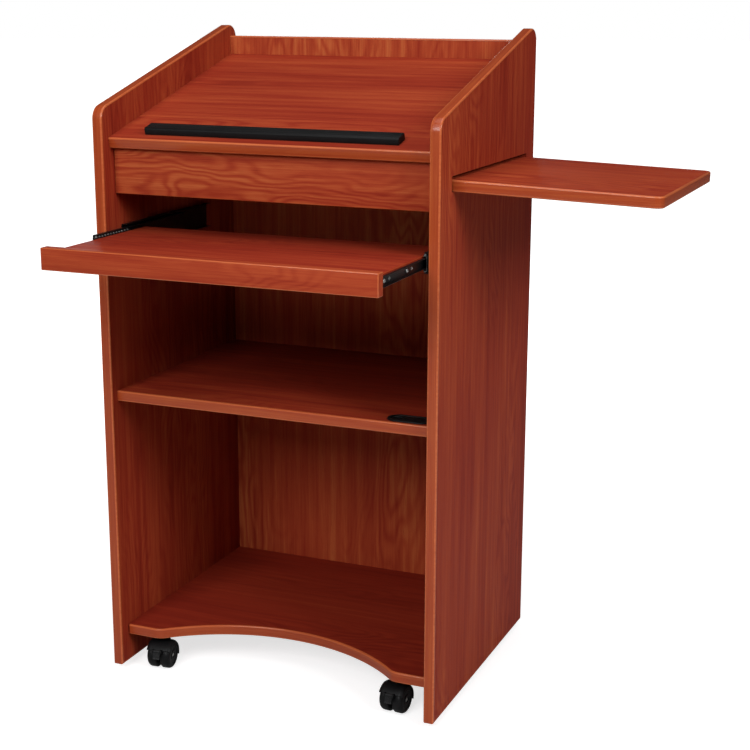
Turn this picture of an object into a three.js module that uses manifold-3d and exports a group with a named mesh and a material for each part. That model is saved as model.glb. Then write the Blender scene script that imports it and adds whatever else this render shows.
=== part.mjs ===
// Presentation lectern: a wood-veneer cabinet on four twin-wheel casters, with a sloping reading
// surface, a pull-out keyboard tray on ball-bearing slides and a pull-out side shelf.
// Millimetres, +Z up. The open front faces -Y and the side shelf pulls out towards +X.
// The tray is drawn part-way out and the side shelf fully out.
import * as THREE from 'three';
import { mergeVertices } from 'three/addons/utils/BufferGeometryUtils.js';
import Module from 'manifold-3d';

const wasm = await Module();
wasm.setup();

// ---------------------------------------------------------------- driving dimensions
const SEAM = 0.25; // gap left where two pieces meet
const BOARD = 19; // thickness of every panel and shelf
const BAND = 3; // thickness of the edge banding, which is also its corner radius

const WIDTH = 633; // cabinet, over the side panels
const DEPTH = 497; // side panels, front to rear
const PANEL_FOOT = 12; // side and back panels end this far above the floor
const FRONT_TOP = 1030; // sloping edge of a side panel, at its front
const REAR_TOP = 1168; // and at its rear
const PANEL_CORNER = 25; // radius of a side panel's two upper corners

const BACK_FACE = 222; // front face of the back panel
const BACK_TOP = 1139.75;

const DESK_FRONT = -230.25; // top front edge of the reading surface
const DESK_HEIGHT = 979.5;
const FASCIA_FRONT = -212;
const FASCIA_FOOT = 882.5;
const FASCIA_TOP = 964;
const FASCIA_ROUND = 2;
const STOP_SETBACK = 21; // book stop, measured along the reading surface
const STOP_DEPTH = 28;
const STOP_RISE = 12.5;
const STOP_SPAN = [-236, 231];
const STOP_ROUND = 3.5;

const SHELF_FRONT = -231.5; // middle shelf
const SHELF_TOP = 532.75;
const BASE_FRONT = -226; // base shelf
const BASE_TOP = 83.75;
const TOE_HALF = 230; // toe cut-out: half its width along the front edge
const TOE_DEPTH = 91;
const TOE_BLEND = 30; // radius where the cut-out runs into the front edge

const GROMMET_X = 253; // cable grommet in the middle shelf
const GROMMET_Y = -206;
const GROMMET_LENGTH = 80;
const GROMMET_WIDTH = 40;
const GROMMET_LIP = 2.5; // flange thickness
const GROMMET_WALL = 2;
const GROMMET_RIM = 4; // flange overhang round the hole
const CAP_GAP = 0.4; // play of the cap in its liner
const CAP_HEIGHT = 2;
const CABLE_NOTCH_LENGTH = 20;
const CABLE_NOTCH_WIDTH = 12;

const TRAY_FRONT = -447.5; // keyboard tray
const TRAY_REAR = -137.5;
const TRAY_TOP = 815.25;
const RAIL_TOP = 822.5;
const RAIL_HEIGHT = 37;
const RAIL_GAP = 2.75; // each end of the front rail to its side panel
const RAIL_EDGE = 1.5; // edge rounding

const SLIDE_ROOM = 12.5; // between tray and side panel
const SLIDE_LENGTH = 305;
const SLIDE_MID = 804.5; // height of the slides' centre line
const SLIDE_METAL = 1.25;
// Each member is a channel: height, web to the side panel, depth, front end.
const CABINET_MEMBER = { height: 45, stand: 0.25, depth: 10, front: -197, opens: -1 };
const MIDDLE_MEMBER = { height: 34, stand: 2.5, depth: 8.5, opens: -1 };
const MIDDLE_FRONT = { left: -293, right: -240 }; // they run freely, so one lags behind the other
const TRAY_MEMBER = { height: 17, stand: 12.25, depth: 6.5, front: -427, opens: 1 };
const SLIDE_SCREWS = [19, 113]; // along the tray member from its front end
const SLIDE_HOLES = [42, 135];
const SCREW_HEAD = 3.5; // head radius
const SCREW_SHANK = 1.75;
const SCREW_LENGTH = 14;

const SIDE_SHELF_HEIGHT = 933; // its top, where it leaves the side panel
const SIDE_SHELF_DROOP = THREE.MathUtils.degToRad(1.7);
const SIDE_SHELF_OUT = 338.5; // how far it stands out
const SIDE_SHELF_IN = 206.5; // how much of it stays inside
const SIDE_SHELF_FRONT = -190.5;
const SIDE_SHELF_REAR = 199.5;
const SIDE_SHELF_CORNER = 15;
const SLOT_LIFT = 6; // slot above the shelf
const SLOT_SAG = 1; // slot below the shelf
const SLOT_END = 4; // slot ahead of and behind the shelf
const RUNNER_WIDTH = 27;
const RUNNER_HEIGHT = 16;
const KEEPER_HEIGHT = 12;
const RUNNER_PLAY = 0.75; // shelf to runner and keeper
const STOP_BLOCK = 25;

const CASTERS = [
  { name: 'front_left', x: -242, y: -185, turn: 7, brake: true },
  { name: 'front_right', x: 230, y: -185, turn: -5, brake: true },
  { name: 'rear_left', x: -237, y: 165, turn: 10, brake: false },
  { name: 'rear_right', x: 237, y: 165, turn: -12, brake: false },
];
const TRAIL = 16; // swivel axis to axle
const WHEEL_RADIUS = 25;
const WHEEL_FACETS = 32;
const WHEEL_INNER = 4; // wheel from the caster's middle plane
const WHEEL_WIDTH = 18.5;
const WHEEL_SHOULDER = 7; // rounding of its outer edge
const AXLE_RADIUS = 4;
const AXLE_HALF = 21;
const RUNNING_GAP = 0.15;
const HOOD_INNER = 26;
const HOOD_OUTER = 28;
const HOOD_HALF = 23;
const HOOD_FROM = THREE.MathUtils.degToRad(-18); // the cover's sector, from the rear horizontal
const HOOD_TO = THREE.MathUtils.degToRad(147);
const WEB_HALF = 3.5;
const WEB_HUB = 11;
const BOSS_RADIUS = 8;
const BOSS_TOP = 59;
const PIN_RADIUS = 4;
const PIN_END = 47;
const RACE_RADIUS = 10;
const RACE_FOOT = 59.5;
const PLATE_SIZE = 40;
const PLATE_THICK = 2.25;
const PEDAL_PIVOT = { y: -26, z: 15 }; // from the axle
const PEDAL_HALF = 6.5;
const PEDAL_BARREL = 3;
const PEDAL_THICK = 3;
const PEDAL_TIP = { y: -31.5, z: 1 };
const TRUNNION_RADIUS = 1.5;
const EAR_THICK = 2.5;
const EAR_RADIUS = 4;

// ---------------------------------------------------------------- derived dimensions
const INNER = WIDTH / 2 - BOARD; // inner face of a side panel
const INFILL = INNER - SEAM; // half the width of a board between the side panels
const BASE_FOOT = BASE_TOP - BOARD;
const SLOPE = Math.atan((REAR_TOP - FRONT_TOP) / DEPTH);
const AXLE_HEIGHT = WHEEL_RADIUS * Math.cos(Math.PI / WHEEL_FACETS); // a flat of the wheel meets the floor

// ---------------------------------------------------------------- materials
function finish(color, roughness, metalness = 0) {
  return new THREE.MeshStandardMaterial({ color, roughness, metalness });
}
const veneer = finish(0x9a3c22, 0.45);
const banding = finish(0xb4572f, 0.4);
const carcass = finish(0xa9825c, 0.8);
const blackPlastic = finish(0x1b1b1c, 0.5);
const blackSteel = finish(0x232426, 0.4, 0.8);
const zincSteel = finish(0xb9bab6, 0.3, 1);

// ---------------------------------------------------------------- solid helpers
function toSolid(geometry) {
  const bare = new THREE.BufferGeometry();
  const source = geometry.index ? geometry.toNonIndexed() : geometry;
  bare.setAttribute('position', source.getAttribute('position').clone());
  const merged = mergeVertices(bare, 1e-3);
  return new wasm.Manifold(
    new wasm.Mesh({
      numProp: 3,
      vertProperties: merged.attributes.position.array,
      triVerts: new Uint32Array(merged.index.array),
    }),
  );
}

function toGeometry(solid) {
  const mesh = solid.getMesh();
  const geometry = new THREE.BufferGeometry();
  geometry.setAttribute('position', new THREE.BufferAttribute(mesh.vertProperties, 3));
  geometry.setIndex(new THREE.BufferAttribute(mesh.triVerts, 1));
  geometry.computeVertexNormals();
  return geometry;
}

function join(...pieces) {
  return toGeometry(pieces.map(toSolid).reduce((whole, piece) => whole.add(piece)));
}

function cut(body, ...tools) {
  return toGeometry(tools.map(toSolid).reduce((rest, tool) => rest.subtract(tool), toSolid(body)));
}

function common(first, second) {
  return toGeometry(toSolid(first).intersect(toSolid(second)));
}

// A box from its lowest to its highest corner.
function block(low, high) {
  const size = high.map((value, i) => value - low[i]);
  const middle = high.map((value, i) => (value + low[i]) / 2);
  return new THREE.BoxGeometry(...size).translate(...middle);
}

function rodAlongX(radius, x0, x1, facets) {
  return new THREE.CylinderGeometry(radius, radius, x1 - x0, facets)
    .rotateZ(Math.PI / 2)
    .translate((x0 + x1) / 2, 0, 0);
}

function rodAlongZ(radius, z0, z1, facets) {
  return new THREE.CylinderGeometry(radius, radius, z1 - z0, facets)
    .rotateX(Math.PI / 2)
    .translate(0, 0, (z0 + z1) / 2);
}

// ---------------------------------------------------------------- outline helpers
function arcPoints(x, y, radius, from, to, steps) {
  return Array.from({ length: steps + 1 }, (_, i) => {
    const angle = from + ((to - from) * i) / steps;
    return new THREE.Vector2(x + radius * Math.cos(angle), y + radius * Math.sin(angle));
  });
}

// A polygon given counter-clockwise as [x, y, corner radius], moved inwards by inset.
function roundedOutline(corners, inset = 0, steps = 6) {
  const edges = corners.map(([x, y], i) => {
    const [nextX, nextY] = corners[(i + 1) % corners.length];
    const along = new THREE.Vector2(nextX - x, nextY - y).normalize();
    const inward = new THREE.Vector2(-along.y, along.x);
    const start = new THREE.Vector2(x, y).addScaledVector(inward, inset);
    return { along, inward, start };
  });
  const points = corners.flatMap(([, , radius = 0], i) => {
    const before = edges.at(i - 1);
    const after = edges[i];
    const offset = after.start.clone().sub(before.start);
    const run = offset.cross(after.along) / before.along.cross(after.along);
    const corner = before.start.clone().addScaledVector(before.along, run);
    const bend = radius - inset;
    if (bend <= 0) return [corner];
    const turn = Math.acos(before.along.dot(after.along));
    const entry = corner.addScaledVector(before.along, -bend * Math.tan(turn / 2));
    const centre = entry.addScaledVector(before.inward, bend);
    const from = Math.atan2(-before.inward.y, -before.inward.x);
    return arcPoints(centre.x, centre.y, bend, from, from + turn, steps);
  });
  return new THREE.Shape(points);
}

function rectangle(x0, y0, x1, y1, radii = [0, 0, 0, 0], inset = 0, steps = 3) {
  const corners = [[x0, y0, radii[0]], [x1, y0, radii[1]], [x1, y1, radii[2]], [x0, y1, radii[3]]];
  return roundedOutline(corners, inset, steps);
}

// ---------------------------------------------------------------- extrusion helpers
const SECTION_TO_X = new THREE.Matrix4().makeBasis(
  new THREE.Vector3(0, 1, 0),
  new THREE.Vector3(0, 0, 1),
  new THREE.Vector3(1, 0, 0),
);

function slab(outline, thickness) {
  return new THREE.ExtrudeGeometry(outline, { depth: thickness, bevelEnabled: false });
}

// A slab whose edges are rounded over on both faces.
function roundedSlab(outline, thickness, radius) {
  return new THREE.ExtrudeGeometry(outline, {
    depth: thickness - 2 * radius,
    bevelThickness: radius,
    bevelSize: radius,
    bevelOffset: -radius,
    bevelSegments: 3,
  }).translate(0, 0, radius);
}

// A (y, z) section extruded from x0 to x1.
function alongX(section, x0, x1) {
  return slab(section, x1 - x0).applyMatrix4(SECTION_TO_X).translate(x0, 0, 0);
}

function part(name, geometry, material, position = [0, 0, 0]) {
  const mesh = new THREE.Mesh(geometry, material);
  mesh.name = name;
  mesh.position.set(...position);
  return mesh;
}

function assembly(...pieces) {
  const group = new THREE.Group();
  group.add(...pieces);
  return group;
}

// ---------------------------------------------------------------- cabinet boards
// Side panel outline in (y, z), counter-clockwise seen from +X.
const SIDE_CORNERS = [
  [-DEPTH / 2, PANEL_FOOT],
  [DEPTH / 2, PANEL_FOOT],
  [DEPTH / 2, REAR_TOP, PANEL_CORNER],
  [-DEPTH / 2, FRONT_TOP, PANEL_CORNER],
];

function sidePanelCore() {
  return slab(roundedOutline(SIDE_CORNERS, BAND + SEAM), BOARD).applyMatrix4(SECTION_TO_X);
}

function sidePanelBand() {
  const whole = roundedSlab(roundedOutline(SIDE_CORNERS), BOARD, BAND);
  const core = slab(roundedOutline(SIDE_CORNERS, BAND), BOARD + 2).translate(0, 0, -1);
  return cut(whole, core).applyMatrix4(SECTION_TO_X);
}

// The slot that the side shelf runs through, with rounded ends.
function shelfSlot() {
  const foot = SIDE_SHELF_HEIGHT - BOARD - SLOT_SAG;
  const top = SIDE_SHELF_HEIGHT + SLOT_LIFT;
  const radii = [3, 3, 3, 3];
  const section = rectangle(SIDE_SHELF_FRONT - SLOT_END, foot, SIDE_SHELF_REAR + SLOT_END, top, radii);
  return alongX(section, -1, BOARD + 1);
}

// A strip of banding along the front of a board: y from 0 to BAND, z from 0 to BOARD.
function bandSection() {
  return rectangle(0, 0, BAND, BOARD, [BAND - 0.25, 0, 0, BAND - 0.25]);
}

function sidePanels() {
  return assembly(
    part('left_side_panel', sidePanelCore(), veneer, [-WIDTH / 2, 0, 0]),
    part('left_panel_edge_band', sidePanelBand(), banding, [-WIDTH / 2, 0, 0]),
    part('right_side_panel', cut(sidePanelCore(), shelfSlot()), veneer, [INNER, 0, 0]),
    part('right_panel_edge_band', sidePanelBand(), banding, [INNER, 0, 0]),
  );
}

function backPanel() {
  const section = rectangle(0, PANEL_FOOT, BOARD, BACK_TOP - BAND - SEAM);
  const bandRadius = BAND - SEAM;
  const band = rectangle(0, BACK_TOP - BAND, BOARD, BACK_TOP, [0, 0, bandRadius, bandRadius]);
  return assembly(
    part('back_panel', alongX(section, -INFILL, INFILL), veneer, [0, BACK_FACE, 0]),
    part('back_panel_top_band', alongX(band, -INFILL, INFILL), banding, [0, BACK_FACE, 0]),
  );
}

// A point of the lectern's slope: along runs up the reading surface, rise stands off it.
function onSlope(along, rise) {
  return [
    DESK_FRONT + along * Math.cos(SLOPE) - rise * Math.sin(SLOPE),
    DESK_HEIGHT + along * Math.sin(SLOPE) + rise * Math.cos(SLOPE),
  ];
}

function readingSurface() {
  const rear = BACK_FACE - SEAM;
  const reach = (rear - DESK_FRONT) / Math.cos(SLOPE);
  const mitre = BOARD * Math.tan(SLOPE); // the rear edge is cut upright, against the back panel
  const start = BAND + SEAM;
  const board = roundedOutline([
    onSlope(start, -BOARD),
    onSlope(reach - mitre, -BOARD),
    onSlope(reach, 0),
    onSlope(start, 0),
  ]);
  const nosing = roundedOutline([
    [...onSlope(0, -BOARD), BAND - SEAM],
    onSlope(BAND, -BOARD),
    onSlope(BAND, 0),
    [...onSlope(0, 0), BAND - SEAM],
  ]);
  const stopRear = STOP_SETBACK + STOP_DEPTH;
  const stop = roundedOutline([
    [...onSlope(STOP_SETBACK, SEAM), 0.5],
    [...onSlope(stopRear, SEAM), 0.5],
    [...onSlope(stopRear, STOP_RISE), STOP_ROUND],
    [...onSlope(STOP_SETBACK, STOP_RISE), STOP_ROUND],
  ]);
  return assembly(
    part('reading_surface', alongX(board, -INFILL, INFILL), veneer),
    part('reading_surface_nosing', alongX(nosing, -INFILL, INFILL), banding),
    part('book_stop', alongX(stop, ...STOP_SPAN), blackPlastic),
  );
}

function frontFascia() {
  const radii = [FASCIA_ROUND, 0, 0, 0];
  const section = rectangle(0, FASCIA_FOOT, BOARD, FASCIA_TOP, radii);
  return part('front_fascia', alongX(section, -INFILL, INFILL), veneer, [0, FASCIA_FRONT, 0]);
}

// A round-ended outline about the origin, long in X.
function stadium(length, width, inset = 0) {
  const x = length / 2;
  const y = width / 2;
  return roundedOutline([[-x, -y, y], [x, -y, y], [x, y, y], [-x, y, y]], inset, 8);
}

function middleShelf() {
  const hole = slab(stadium(GROMMET_LENGTH, GROMMET_WIDTH, GROMMET_RIM - SEAM), BOARD + 2).translate(
    GROMMET_X,
    GROMMET_Y,
    -1,
  );
  const board = block(
    [-INFILL, SHELF_FRONT + BAND + SEAM, 0],
    [INFILL, BACK_FACE - SEAM, BOARD],
  );
  const foot = SHELF_TOP - BOARD;
  return assembly(
    part('middle_shelf', cut(board, hole), veneer, [0, 0, foot]),
    part('middle_shelf_edge_band', alongX(bandSection(), -INFILL, INFILL), banding, [0, SHELF_FRONT, foot]),
    cableGrommet(),
  );
}

// The liner drops through the shelf and hangs by its flange; the cap sits inside the flange.
function cableGrommet() {
  const sleeve = slab(stadium(GROMMET_LENGTH, GROMMET_WIDTH, GROMMET_RIM), BOARD + 1);
  sleeve.translate(0, 0, -BOARD);
  const flange = roundedSlab(stadium(GROMMET_LENGTH, GROMMET_WIDTH), GROMMET_LIP, 1);
  flange.translate(0, 0, SEAM);
  const wellInset = GROMMET_RIM + GROMMET_WALL;
  const ledgeInset = wellInset + 2;
  const well = slab(stadium(GROMMET_LENGTH, GROMMET_WIDTH, wellInset), GROMMET_LIP + CAP_HEIGHT);
  const ledge = slab(stadium(GROMMET_LENGTH, GROMMET_WIDTH, ledgeInset), 2 * BOARD);
  const liner = cut(join(sleeve, flange), well, ledge.translate(0, 0, -BOARD - 1));

  const cap = slab(stadium(GROMMET_LENGTH, GROMMET_WIDTH, wellInset + CAP_GAP), CAP_HEIGHT);
  const capEnd = -GROMMET_LENGTH / 2 + wellInset;
  const notch = slab(
    rectangle(
      capEnd - 1,
      -CABLE_NOTCH_WIDTH / 2,
      capEnd + CABLE_NOTCH_LENGTH,
      CABLE_NOTCH_WIDTH / 2,
      [0, CABLE_NOTCH_WIDTH / 2 - 0.5, CABLE_NOTCH_WIDTH / 2 - 0.5, 0],
    ),
    2 * BOARD,
  );
  const group = assembly(
    part('grommet_liner', liner, blackPlastic),
    part('grommet_cap', cut(cap, notch.translate(0, 0, -BOARD)), blackPlastic, [0, 0, SEAM]),
  );
  group.position.set(GROMMET_X, GROMMET_Y, SHELF_TOP);
  return group;
}

// The base shelf outline, with its concave toe cut-out blended into the front edge.
function baseOutline(inset) {
  const front = BASE_FRONT + inset;
  const rear = BACK_FACE - SEAM;
  const toeRadius = (TOE_HALF ** 2 + TOE_DEPTH ** 2) / (2 * TOE_DEPTH);
  const toeCentre = BASE_FRONT + TOE_DEPTH - toeRadius;
  const blendCentre = BASE_FRONT + TOE_BLEND;
  const blendX = Math.sqrt((toeRadius + TOE_BLEND) ** 2 - (blendCentre - toeCentre) ** 2);
  const lean = Math.atan2(blendCentre - toeCentre, blendX);
  const blend = TOE_BLEND - inset;
  const arc = toeRadius + inset;
  return new THREE.Shape([
    new THREE.Vector2(-INFILL, rear),
    new THREE.Vector2(-INFILL, front),
    ...arcPoints(-blendX, blendCentre, blend, -Math.PI / 2, -lean, 4),
    ...arcPoints(0, toeCentre, arc, Math.PI - lean, lean, 24).slice(1, -1),
    ...arcPoints(blendX, blendCentre, blend, Math.PI + lean, 1.5 * Math.PI, 4),
    new THREE.Vector2(INFILL, front),
    new THREE.Vector2(INFILL, rear),
  ]);
}

function baseShelf() {
  const board = slab(baseOutline(BAND + SEAM), BOARD);
  const whole = roundedSlab(baseOutline(0), BOARD, BAND - SEAM);
  const inside = slab(baseOutline(BAND), BOARD + 2).translate(0, 0, -1);
  const reach = block([-INFILL + BAND, BASE_FRONT - 1, -1], [INFILL - BAND, BACK_FACE - BOARD, BOARD + 1]);
  const band = common(cut(whole, inside), reach);
  return assembly(
    part('base_shelf', board, veneer, [0, 0, BASE_FOOT]),
    part('base_shelf_edge_band', band, banding, [0, 0, BASE_FOOT]),
  );
}

// ---------------------------------------------------------------- keyboard tray and its slides
function channelSection({ height, depth, opens }) {
  const half = height / 2;
  const tip = opens * depth;
  const inner = opens * SLIDE_METAL;
  const outline = [
    [0, -half],
    [tip, -half],
    [tip, -half + SLIDE_METAL],
    [inner, -half + SLIDE_METAL],
    [inner, half - SLIDE_METAL],
    [tip, half - SLIDE_METAL],
    [tip, half],
    [0, half],
  ];
  const points = outline.map(([x, z]) => new THREE.Vector2(x, z));
  return new THREE.Shape(opens > 0 ? points : points.reverse());
}

// One member of the slide on the given side; its web stands off the side panel by stand.
function slideMember(member, side) {
  const { stand, front, opens } = member;
  const section = channelSection({ ...member, opens: opens * side });
  const channel = slab(section, SLIDE_LENGTH).rotateX(Math.PI / 2);
  return channel.translate(side * (INNER - stand), front + SLIDE_LENGTH, SLIDE_MID);
}

function trayMember(side) {
  const places = [...SLIDE_SCREWS, ...SLIDE_HOLES];
  const holes = places.map((along) => {
    const x = side * (INNER - SLIDE_ROOM);
    const hole = rodAlongX(SCREW_SHANK + RUNNING_GAP, x - 3, x + 3, 16);
    return hole.translate(0, TRAY_MEMBER.front + along, SLIDE_MID);
  });
  return cut(slideMember(TRAY_MEMBER, side), ...holes);
}

// A pan-head screw lying along X, its head away from the tray.
function traySlideScrew(side) {
  const web = INNER - TRAY_MEMBER.stand + SLIDE_METAL;
  const shank = rodAlongX(SCREW_SHANK, web - SCREW_LENGTH, web + 1, 16);
  const head = rodAlongX(SCREW_HEAD, web + SEAM, web + 2.25, 16);
  return join(shank, head).rotateZ(side > 0 ? 0 : Math.PI);
}

function trayBoard() {
  const half = INNER - SLIDE_ROOM;
  const start = TRAY_FRONT + BOARD + SEAM;
  const foot = TRAY_TOP - BOARD;
  const board = block([-half, start, foot], [half, TRAY_REAR, TRAY_TOP]);
  const web = half + SLIDE_METAL;
  const pilots = [-1, 1].flatMap((side) =>
    SLIDE_SCREWS.map((along) => {
      const x = side * web;
      const hole = rodAlongX(SCREW_SHANK + RUNNING_GAP, x - SCREW_LENGTH - 1, x + SCREW_LENGTH + 1, 16);
      return hole.translate(0, TRAY_MEMBER.front + along, SLIDE_MID);
    }),
  );
  return cut(board, ...pilots);
}

function keyboardTray() {
  const railHalf = INNER - RAIL_GAP;
  const rail = rectangle(0, RAIL_TOP - RAIL_HEIGHT, BOARD, RAIL_TOP, Array(4).fill(RAIL_EDGE));
  const tray = assembly(
    part('tray_board', trayBoard(), veneer),
    part('tray_front_rail', alongX(rail, -railHalf, railHalf), veneer, [0, TRAY_FRONT, 0]),
  );
  for (const [hand, side] of [['left', -1], ['right', 1]]) {
    const middle = { ...MIDDLE_MEMBER, front: MIDDLE_FRONT[hand] };
    tray.add(
      part(`${hand}_slide_cabinet_member`, slideMember(CABINET_MEMBER, side), blackSteel),
      part(`${hand}_slide_middle_member`, slideMember(middle, side), blackSteel),
      part(`${hand}_slide_tray_member`, trayMember(side), blackSteel),
    );
    SLIDE_SCREWS.forEach((along, i) => {
      const place = [0, TRAY_MEMBER.front + along, SLIDE_MID];
      const name = `${hand}_slide_screw_${['front', 'rear'][i]}`;
      tray.add(part(name, traySlideScrew(side), zincSteel, place));
    });
  }
  return tray;
}

// ---------------------------------------------------------------- side shelf
// Drawn level about the point where its top leaves the side panel, then tipped by its droop.
function sideShelf() {
  const edge = [
    [-SIDE_SHELF_IN, SIDE_SHELF_FRONT],
    [SIDE_SHELF_OUT, SIDE_SHELF_FRONT, SIDE_SHELF_CORNER],
    [SIDE_SHELF_OUT, SIDE_SHELF_REAR, SIDE_SHELF_CORNER],
    [-SIDE_SHELF_IN, SIDE_SHELF_REAR],
  ];
  const reach = block(
    [-SIDE_SHELF_IN + BAND, SIDE_SHELF_FRONT - 1, -1],
    [SIDE_SHELF_OUT + 1, SIDE_SHELF_REAR + 1, BOARD + 1],
  );
  const board = common(slab(roundedOutline(edge, BAND + SEAM), BOARD), reach);
  const inside = slab(roundedOutline(edge, BAND), BOARD + 2).translate(0, 0, -1);
  const band = common(cut(roundedSlab(roundedOutline(edge), BOARD, BAND - SEAM), inside), reach);

  const railEnds = [-WIDTH + BOARD + 3, -BOARD - 3];
  const frontRail = [FASCIA_FRONT + BOARD + SEAM, FASCIA_FRONT + BOARD + SEAM + RUNNER_WIDTH];
  const rearRail = [BACK_FACE - SEAM - RUNNER_WIDTH - 9, BACK_FACE - SEAM];
  const runnerTop = -BOARD - RUNNER_PLAY;
  const rail = ([y0, y1], z0, z1) => block([railEnds[0], y0, z0], [railEnds[1], y1, z1]);
  const runner = (span) => rail(span, runnerTop - RUNNER_HEIGHT, runnerTop);
  const keeper = (span) => rail(span, RUNNER_PLAY, RUNNER_PLAY + KEEPER_HEIGHT);
  const stop = block(
    [railEnds[1] - STOP_BLOCK, frontRail[1] + 10, -BOARD - RUNNER_HEIGHT],
    [railEnds[1], rearRail[0] - 10, -BOARD - SEAM],
  );

  const shelf = assembly(
    part('side_shelf', board, veneer, [0, 0, -BOARD]),
    part('side_shelf_edge_band', band, banding, [0, 0, -BOARD]),
    part('side_shelf_stop_block', stop, carcass),
    part('side_shelf_front_runner', runner(frontRail), carcass),
    part('side_shelf_rear_runner', runner(rearRail), carcass),
    part('side_shelf_front_keeper', keeper(frontRail), carcass),
    part('side_shelf_rear_keeper', keeper(rearRail), carcass),
  );
  shelf.position.set(WIDTH / 2, 0, SIDE_SHELF_HEIGHT);
  shelf.rotation.y = SIDE_SHELF_DROOP;
  return shelf;
}

// ---------------------------------------------------------------- casters
// Drawn about the swivel axis, standing on the floor, with the axle TRAIL in front of it.
function casterPlate() {
  const top = BASE_FOOT - SEAM;
  const half = PLATE_SIZE / 2;
  const plate = slab(rectangle(-half, -half, half, half, [4, 4, 4, 4]), PLATE_THICK);
  plate.translate(0, 0, top - PLATE_THICK);
  const offset = half - 5.5;
  const holes = [-offset, offset].flatMap((x) =>
    [-offset, offset].map((y) => rodAlongZ(2.2, top - 5, top + 5, 12).translate(x, y, 0)),
  );
  const race = rodAlongZ(RACE_RADIUS, RACE_FOOT, top - 1, 24);
  const pin = rodAlongZ(PIN_RADIUS, PIN_END, top - 1, 24);
  return cut(join(plate, race, pin), ...holes);
}

// A thick sleeve lying along X, with both its outer rims rounded.
function barrel(radius, half, shoulder) {
  const rim = radius - shoulder;
  const core = 2 * AXLE_RADIUS;
  const profile = [
    new THREE.Vector2(core, -half),
    ...arcPoints(rim, shoulder - half, shoulder, -Math.PI / 2, 0, 4),
    ...arcPoints(rim, half - shoulder, shoulder, 0, Math.PI / 2, 4),
    new THREE.Vector2(core, half),
    new THREE.Vector2(core, -half),
  ];
  return new THREE.LatheGeometry(profile, 40).rotateZ(-Math.PI / 2);
}

// The hood's cover over both wheels: a sector of a barrel-shaped shell, open at both sides.
function hoodCover() {
  const thick = HOOD_OUTER - HOOD_INNER;
  const gap = HOOD_INNER - WHEEL_RADIUS;
  const half = HOOD_HALF + gap - 0.5;
  const outer = barrel(HOOD_OUTER, half + thick, WHEEL_SHOULDER + gap + thick);
  const shell = cut(outer, barrel(HOOD_INNER, half, WHEEL_SHOULDER + gap));
  const sector = new THREE.Shape([
    new THREE.Vector2(0, 0),
    ...arcPoints(0, 0, 2 * HOOD_OUTER, HOOD_FROM, HOOD_TO, 18),
  ]);
  return common(shell, alongX(sector, -HOOD_HALF, HOOD_HALF));
}

// The web between the wheels: out to the cover where there is one, a small hub elsewhere.
function webSector() {
  return new THREE.Shape([
    ...arcPoints(0, 0, HOOD_INNER + 1, HOOD_FROM, HOOD_TO, 14),
    ...arcPoints(0, 0, WEB_HUB, HOOD_TO, HOOD_FROM + 2 * Math.PI, 10),
  ]);
}

function casterHood(brake) {
  const cover = hoodCover();
  const web = alongX(webSector(), -WEB_HALF, WEB_HALF);
  const boss = rodAlongZ(BOSS_RADIUS, 38 - AXLE_HEIGHT, BOSS_TOP - AXLE_HEIGHT, 24).translate(0, TRAIL, 0);
  const pieces = [cover, web, boss];
  const cuts = [-1, 1].map((side) => {
    const ends = [side * WEB_HALF, side * (BOSS_RADIUS + 2)].sort((a, b) => a - b);
    return rodAlongX(HOOD_INNER - 0.1, ...ends, 36);
  });
  cuts.push(rodAlongX(AXLE_RADIUS + RUNNING_GAP, -30, 30, 24));
  const pinBore = rodAlongZ(PIN_RADIUS + RUNNING_GAP, PIN_END - 0.5 - AXLE_HEIGHT, 80, 24);
  cuts.push(pinBore.translate(0, TRAIL, 0));
  if (brake) {
    const pivot = [0, PEDAL_PIVOT.y, PEDAL_PIVOT.z];
    const inner = PEDAL_HALF + 0.3;
    pieces.push(rodAlongX(EAR_RADIUS, -inner - EAR_THICK, inner + EAR_THICK, 20).translate(...pivot));
    cuts.push(rodAlongX(EAR_RADIUS + 0.5, -inner, inner, 20).translate(...pivot));
    cuts.push(rodAlongX(TRUNNION_RADIUS + RUNNING_GAP, -20, 20, 16).translate(...pivot));
  }
  return cut(join(...pieces), ...cuts);
}

function brakePedal() {
  const down = new THREE.Vector2(PEDAL_TIP.y - PEDAL_PIVOT.y, PEDAL_TIP.z - PEDAL_PIVOT.z);
  const length = down.length();
  const arm = rectangle(-PEDAL_THICK / 2, -length, PEDAL_THICK / 2, 0, [1.2, 1.2, 0, 0]);
  const tilt = Math.atan2(down.x, -down.y);
  const tongue = alongX(arm, -PEDAL_HALF, PEDAL_HALF).rotateX(tilt);
  const barrel = rodAlongX(PEDAL_BARREL, -PEDAL_HALF, PEDAL_HALF, 16);
  const trunnion = rodAlongX(TRUNNION_RADIUS, -PEDAL_HALF - EAR_THICK, PEDAL_HALF + EAR_THICK, 16);
  return join(tongue, barrel, trunnion);
}

// The wheel's section turned about X, hub face inwards.
function casterWheel() {
  const bore = AXLE_RADIUS + RUNNING_GAP;
  const section = [
    [bore, 0],
    [WHEEL_RADIUS - 2.5, 0],
    [WHEEL_RADIUS, 2],
  ];
  const profile = section.map(([radius, x]) => new THREE.Vector2(radius, x));
  const shoulder = WHEEL_SHOULDER;
  profile.push(
    ...arcPoints(WHEEL_RADIUS - shoulder, WHEEL_WIDTH - shoulder, shoulder, 0, Math.PI / 2, 4),
    new THREE.Vector2(bore, WHEEL_WIDTH - 2),
    new THREE.Vector2(bore, 0),
  );
  const halfFacet = Math.PI / WHEEL_FACETS;
  return new THREE.LatheGeometry(profile, WHEEL_FACETS).rotateY(halfFacet).rotateZ(-Math.PI / 2);
}

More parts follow.
